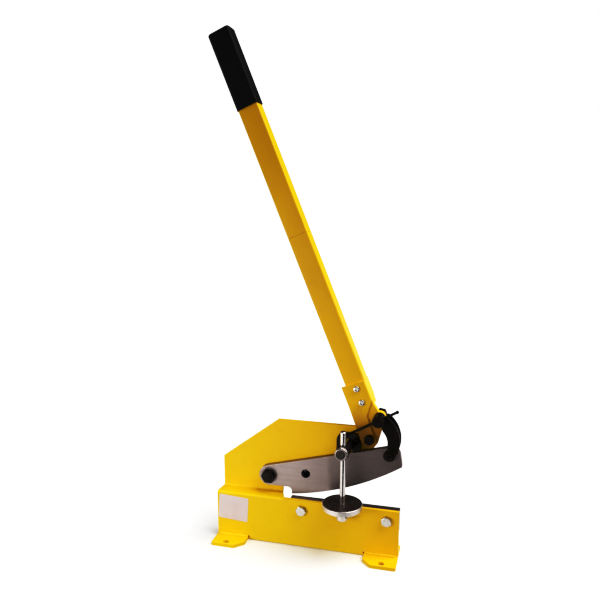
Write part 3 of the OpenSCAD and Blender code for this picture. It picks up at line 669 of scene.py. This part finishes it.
pivot_bolt("blade_pivot", across=24, r=8, reach=20, pitch=2.0, turn=2, nut_turn=11)
pivot_bolt("lever_pivot", across=16, r=5, reach=30, pitch=1.5, turn=30, nut_turn=4)
hex_nut("link_nut_upper", across=19, r=6, turn=9)

bm, bm_nuts = bmesh.new(), bmesh.new()
nuts = loose_parts("lever_bracket_nuts")
head, plain = 3.6, 20    # mm: height of the head, and length of the shank before the thread
for k, (c, lo, hi) in enumerate(loose_parts("lever_bracket_bolts")):
    turn, nut_turn = ((0.4, math.radians(5)), (1.1, math.radians(26)))[k]
    _, nut_lo, nut_hi = nuts[k]
    seat = lo.y + head
    part(bm, button(5.6, head, 5), c.x, seat, c.z, FRONT, turn)
    part(bm, threaded_end(3, plain - 0.5, hi.y - seat, 1.0), c.x, seat, c.z, BACK)
    part(bm, spun([(0, 0), (3, 0), (3, plain - 0.4), (2.4, plain + 0.2), (0, plain + 0.2)]), c.x, seat, c.z,
         BACK)
    part(bm_nuts, nut(10, nut_hi.y - nut_lo.y, 3.05), c.x, nut_lo.y, c.z, BACK, nut_turn)
shown("lever_bracket_bolts", bm, M["zinc"])
shown("lever_bracket_nuts", bm_nuts, M["zinc"])

front_pin, rear_pin = sorted(loose_parts("link_pin_lower"), key=lambda p: p[0].y)
head = 4    # mm
x, z = front_pin[0].x, front_pin[0].z
front_seat, rear_seat = front_pin[1].y + head, rear_pin[2].y - head
bm = bmesh.new()
part(bm, button(6, head, 4.2), x, front_seat, z, FRONT, 0.3)
part(bm, button(6, head, 4.2), rear_pin[0].x, rear_seat, rear_pin[0].z, BACK, 0.9)
for start, end in ((front_seat, front_pin[2].y), (rear_pin[1].y, rear_seat)):
    h = end - start
    part(bm, spun([(0, 0), (4.6, 0), (5, 0.4), (5, h - 0.4), (4.6, h), (0, h)]), x, start, z, BACK)
shown("link_pin_lower", bm, M["black_steel"])

c, lo, hi = box_mid("holddown_bracket_bolt")
head = 8    # mm
h = hi.y - lo.y - head
bm = bmesh.new()
part(bm, button(6.5, head, 6), c.x, lo.y + head, c.z)
part(bm, spun([(0, 0), (4, 0), (4, h - 1), (3.4, h), (0, h)]), c.x, lo.y + head, c.z, BACK)
shown("holddown_bracket_bolt", bm, M["black_steel"])


# ---------------------------------------------------------------- tommy bar, knob, label, welds, lever details

def tommy_bar():
    """A drawn bar that swells into a rounded knob at each end, in mm."""
    lo, hi = (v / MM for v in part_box("tommy_bar"))
    angle = math.radians(29.5)
    ball, bar_r, neck_r = 3.0, 2.3, 2.33
    neck, bar = 2.8, 4.5    # from a ball's centre to its neck, and to the plain bar
    middle_y = (lo.y + hi.y) / 2
    a = Vector((lo.x + ball, middle_y, lo.z + ball))
    b = Vector((hi.x - ball, middle_y, hi.z - ball))
    length = (b - a).length
    arc = [k / 9 * math.pi * 0.72 for k in range(1, 9)]
    profile = [(0, -ball)] + [(ball * math.sin(t), -ball * math.cos(t)) for t in arc]
    profile += [(neck_r, neck), (bar_r, bar), (bar_r, length / 2), (bar_r, length - bar),
                (neck_r, length - neck)]
    profile += [(ball * math.sin(t), length + ball * math.cos(t)) for t in reversed(arc)]
    profile.append((0, length + ball))
    bm = bmesh.new()
    lathe(bm, profile, 40)
    turn = Vector((math.cos(angle), 0, math.sin(angle))).to_track_quat("Z", "Y").to_matrix().to_4x4()
    bmesh.ops.transform(bm, matrix=Matrix.Translation(a * MM) @ turn @ Matrix.Scale(MM, 4), verts=bm.verts)
    shown("tommy_bar", bm, M["black_steel"], smooth=50)


def knob():
    """A clamp knob with a crossed knurl, a bevelled rim and a dished dark face, in mm."""
    c, lo, hi = box_mid("holddown_knob")
    r, thick, n = 11.0, 10.0, 216
    knurls, depth, rise = 36, 0.55, 0.95
    plain, steps = 0.9, 30    # unknurled length at each end, and rows along the knurl

    def build(bm):
        rows = [circle(4, -hi.y + lo.y + thick, n), circle(4, -1.9, n), circle(7, -1.0, n),
                circle(7, -0.1, n), circle(9.9, 0.0, n), circle(10.5, 0.35, n)]
        for k in range(steps + 1):
            z = plain + (thick - 2 * plain) * k / steps
            pts = []
            for i in range(n):
                across, along = i / n * knurls, z / rise
                ridge = min(abs(((across + along) % 2) - 1), abs(((across - along) % 2) - 1))
                rr = r - depth * (1 - ridge * 1.6 if ridge < 0.62 else 0)
                rr = min(r, max(r - depth, rr))
                a = 2 * math.pi * i / n
                pts.append(Vector((rr * math.cos(a), rr * math.sin(a), z)))
            rows.append(pts)
        rows += [circle(10.5, thick - 0.35, n), circle(9.9, thick, n), circle(8.9, thick, n),
                 circle(8.5, thick - 0.35, n), circle(5.0, thick - 0.6, n), circle(1.0, thick - 0.6, n)]
        closed(bm, rows)

    face_profile = [(0, thick - 0.8), (8.3, thick - 0.8), (8.3, thick - 0.45), (8.0, thick - 0.3),
                    (3.2, thick - 0.3), (2.8, thick - 0.5), (0, thick - 0.5)]
    bm, face = bmesh.new(), bmesh.new()
    part(bm, build, c.x, lo.y + thick, c.z)
    part(face, spun(face_profile, AROUND), c.x, lo.y + thick, c.z)
    add("holddown_knob_face", face, black_oxide("knob face", (0.035, 0.030, 0.027), 0.36), "holddown_knob",
        smooth=40)
    steel = bright_plate("knob steel", (0.30, 0.27, 0.255), 0.30, dull=(0.07, 0.06, 0.055))
    shown("holddown_knob", bm, steel, smooth=40)


def label():
    """A thin blank sticker with rounded corners, put on slightly askew."""
    lo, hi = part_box("blank_label")
    mid_x, mid_z = (lo.x + hi.x) / 2, (lo.z + hi.z) / 2
    half_w, half_h, corner, askew = 0.029, 0.0241, 0.0025, math.radians(-3.6)
    edge, taper = 0.0001, 0.993    # the front face is this share of the back one, within this depth
    pts = [(mid_x + px * math.cos(askew) - pz * math.sin(askew),
            mid_z + px * math.sin(askew) + pz * math.cos(askew))
           for px, pz in corners(half_w, half_h, corner, 6)]
    bm = bmesh.new()
    closed(bm, [[Vector((x, hi.y, z)) for x, z in pts],
                [Vector((x, lo.y + edge, z)) for x, z in pts],
                [Vector((mid_x + (x - mid_x) * taper, lo.y, mid_z + (z - mid_z) * taper)) for x, z in pts]])
    shown("blank_label", bm, M["label"])


def weld(bm, a, b, r, pitch=2.4, normal=(0, 0, 1)):
    """A fillet weld bead from a to b, in mm: a round bead with uneven ripples, thinner at its ends."""
    a, b = Vector(a), Vector(b)
    length = (b - a).length
    steps = max(8, int(length / pitch * 6))
    along = (b - a).normalized()
    up = Vector(normal).normalized()
    side = along.cross(up)
    rows, n = [], 14
    for k in range(steps + 1):
        s = length * k / steps
        ripple = 0.84 + 0.16 * abs(math.sin(math.pi * s / pitch))
        ripple += 0.05 * math.sin(s * 1.7) * math.sin(s * 0.43)
        end = min(1, math.sqrt(max(0.02, min(s, length - s) / (r * 0.9))))
        pts = []
        for i in range(n):
            t = 2 * math.pi * i / n
            pts.append((a + along * s + (side * math.cos(t) + up * math.sin(t)) * r * ripple * end) * MM)
        rows.append(pts)
    closed(bm, rows)


tommy_bar()
knob()
label()

bm = bmesh.new()
behind, before = 3.4, -4.0    # mm: beads at the back and at the front of the lower arm
for side, sign in (("left", 1), ("right", -1)):
    lo, hi = (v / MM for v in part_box(f"rear_foot_{side}"))
    inner, outer = (hi.x, lo.x) if side == "left" else (lo.x, hi.x)
    edge = inner + sign * 0.2
    weld(bm, (lo.x + 4, behind, hi.z + 0.2), (hi.x - 4, behind, hi.z + 0.2), 2.4, normal=(0, 0.7, 0.7))
    weld(bm, (edge, behind, 12), (edge, behind, hi.z - 2), 2.2, normal=(sign * 0.7, 0.7, 0))
    weld(bm, (inner - sign * 3, before, 7.0), (outer + sign * 2, before, 7.0), 2.9, 3.4,
         normal=(0, -0.7, 0.7))
add("foot_welds", bm, M["yellow_paint"], "frame", smooth=60, weighted=False)

tilt = math.radians(-22.2)
up_lever = Vector((math.sin(tilt), 0, math.cos(tilt)))
across_lever = Vector((math.cos(tilt), 0, -math.sin(tilt)))
lever_pivot = Vector((0.1134, 0.0301, 0.2165))
nub_up, nub_across = 0.7429, 0.009
bm = bmesh.new()
lathe(bm, [(0, -1.0), (3.2, -1.0), (3.0, 0.5), (2.4, 1.2), (1.2, 1.5), (0, 1.5)], 24)
turn = up_lever.to_track_quat("Z", "Y").to_matrix().to_4x4()
spot = lever_pivot + up_lever * nub_up + across_lever * nub_across
bmesh.ops.transform(bm, matrix=Matrix.Translation(spot) @ turn @ Matrix.Scale(MM, 4), verts=bm.verts)
add("grip_mould_nub", bm, M["grip_rubber"], "lever", smooth=50)

TUBE_ACROSS = 0.0114                          # from the pivot's line to the tube's middle line
TUBE_HALF_W, TUBE_HALF_D = 0.01825, 0.015     # half of the tube's section


def band_row(depth, corner, height):
    """A rounded rectangle at a depth under the tube's faces and a height along the lever."""
    middle = lever_pivot + up_lever * height + across_lever * TUBE_ACROSS
    return [middle + across_lever * px + Vector((0, py, 0))
            for px, py in corners(TUBE_HALF_W - depth, TUBE_HALF_D - depth, corner, 6)]


# painted shade: a black band sunk just under the tube's faces stands in for the shade in the joint's groove
low, high, inset, band = 0.3771, 0.3790, 0.00045, 0.001
bm = bmesh.new()
made = grid(bm, [band_row(inset, 0.0026, low), band_row(inset, 0.0026, high),
                 band_row(inset + band, 0.0016, high), band_row(inset + band, 0.0016, low)])
join(bm, made[-1], made[0])
add("tube_joint_shade_band", bm, M["black_steel"], "lever", smooth=50)


# ---------------------------------------------------------------- floor, light, camera

def matt(name, colour, rough):
    """A matt surface with a faint mottle."""
    g = Graph(name)
    tone = g.ramp(g.noise(2.0, 2), 0.3, 0.7)
    g.set(Base_Color=g.mix(tone, colour, tuple(c * 0.985 for c in colour)), Roughness=rough)
    return g.mat


bm = bmesh.new()
bmesh.ops.create_grid(bm, x_segments=2, y_segments=2, size=30)
me = bpy.data.meshes.new("floor")
bm.to_mesh(me)
bm.free()
me.materials.append(matt("pale floor", (0.93, 0.93, 0.93), 0.9))
floor = new_object("floor", me)
floor.visible_diffuse = False


def aim(ob, direction):
    """Turns a light so that it shines along a direction."""
    ob.rotation_euler = direction.to_track_quat("-Z", "Y").to_euler()


fill = bpy.data.lights.new("low left", "AREA")
fill.shape = "RECTANGLE"
fill.size = fill.size_y = 0.5
fill.energy = 5.5
fill_place, fill_target = Vector((-0.62, -0.88, 0.20)), Vector((-0.06, 0, 0.14))
fill_ob = new_object("low left", fill)
fill_ob.location = fill_place
aim(fill_ob, fill_target - fill_place)

sun = bpy.data.lights.new("soft sun", "SUN")
sun.energy = 3.1
sun.angle = math.radians(50)
aim(new_object("soft sun", sun), Vector((-0.52, 0.0, -0.85)))


def flag(name, outline, shade):
    """A dark card that only reflections see, as photographers use for metal."""
    me = bpy.data.meshes.new(name)
    me.from_pydata(outline, [], [(0, 1, 2, 3)])
    mat = bpy.data.materials.new(name)
    mat.use_nodes = True
    tree = mat.node_tree
    tree.nodes.clear()
    out = tree.nodes.new("ShaderNodeOutputMaterial")
    glow = tree.nodes.new("ShaderNodeEmission")
    glow.inputs[0].default_value = (shade, shade, shade, 1)
    tree.links.new(glow.outputs[0], out.inputs[0])
    me.materials.append(mat)
    ob = new_object(name, me)
    ob.visible_camera = ob.visible_diffuse = ob.visible_shadow = False
    ob.visible_transmission = ob.visible_volume_scatter = False


def upright(x0, x1, y, z0, z1):
    """The outline of an upright card across the view."""
    return [(x0, y, z0), (x1, y, z0), (x1, y, z1), (x0, y, z1)]


flag("flag_front_right", [(0.04, -1.1, 0.003), (0.9, -1.1, 0.003), (0.9, -0.2, 0.003), (0.04, -0.2, 0.003)],
     0.06)
flag("flag_behind_camera", upright(-0.5, 1.3, -2.6, 0.0, 2.4), 0.02)
flag("flag_back", upright(-1.6, 1.6, 2.6, 0.7, 3.2), 0.06)

# The camera sees a white background, and everything else a dimmer one.
world = bpy.data.worlds.new("studio")
world.use_nodes = True
tree = world.node_tree
tree.nodes.clear()
out = tree.nodes.new("ShaderNodeOutputWorld")
sky = tree.nodes.new("ShaderNodeBackground")
ray = tree.nodes.new("ShaderNodeLightPath")
strength = tree.nodes.new("ShaderNodeMapRange")
tree.links.new(ray.outputs["Is Camera Ray"], strength.inputs["Value"])
strength.inputs["To Min"].default_value = 0.34
strength.inputs["To Max"].default_value = 1.0
sky.inputs[0].default_value = (1, 1, 1, 1)
tree.links.new(strength.outputs[0], sky.inputs[1])
tree.links.new(sky.outputs[0], out.inputs[0])
bpy.context.scene.world = world

# A studio photo's contrast: dark tones deeper, and light tones a little lifted.
view = bpy.context.scene.view_settings
view.view_transform = "Standard"
view.use_curve_mapping = True
curve = view.curve_mapping.curves[3]
for x, y in ((0.020, 0.006), (0.058, 0.017), (0.142, 0.056), (0.246, 0.153), (0.354, 0.300), (0.498, 0.505),
             (0.698, 0.760)):
    curve.points.new(x, y)
view.curve_mapping.update()

cam = bpy.data.cameras.new("camera")
cam.sensor_width = 36
cam.lens = 37.5457
cam.shift_y = 0.05
cam.clip_start = 0.01
cam.clip_end = 100
cam.dof.use_dof = False
heading, downward = 15.03, 10.89    # degrees to the left of +Y, and below level
camera = new_object("camera", cam)
camera.location = (0.2667, -1.03087, 0.61417)
camera.rotation_euler = (Matrix.Rotation(math.radians(heading), 3, "Z")
                         @ Matrix.Rotation(math.radians(90 - downward), 3, "X")).to_euler()
bpy.context.scene.camera = camera
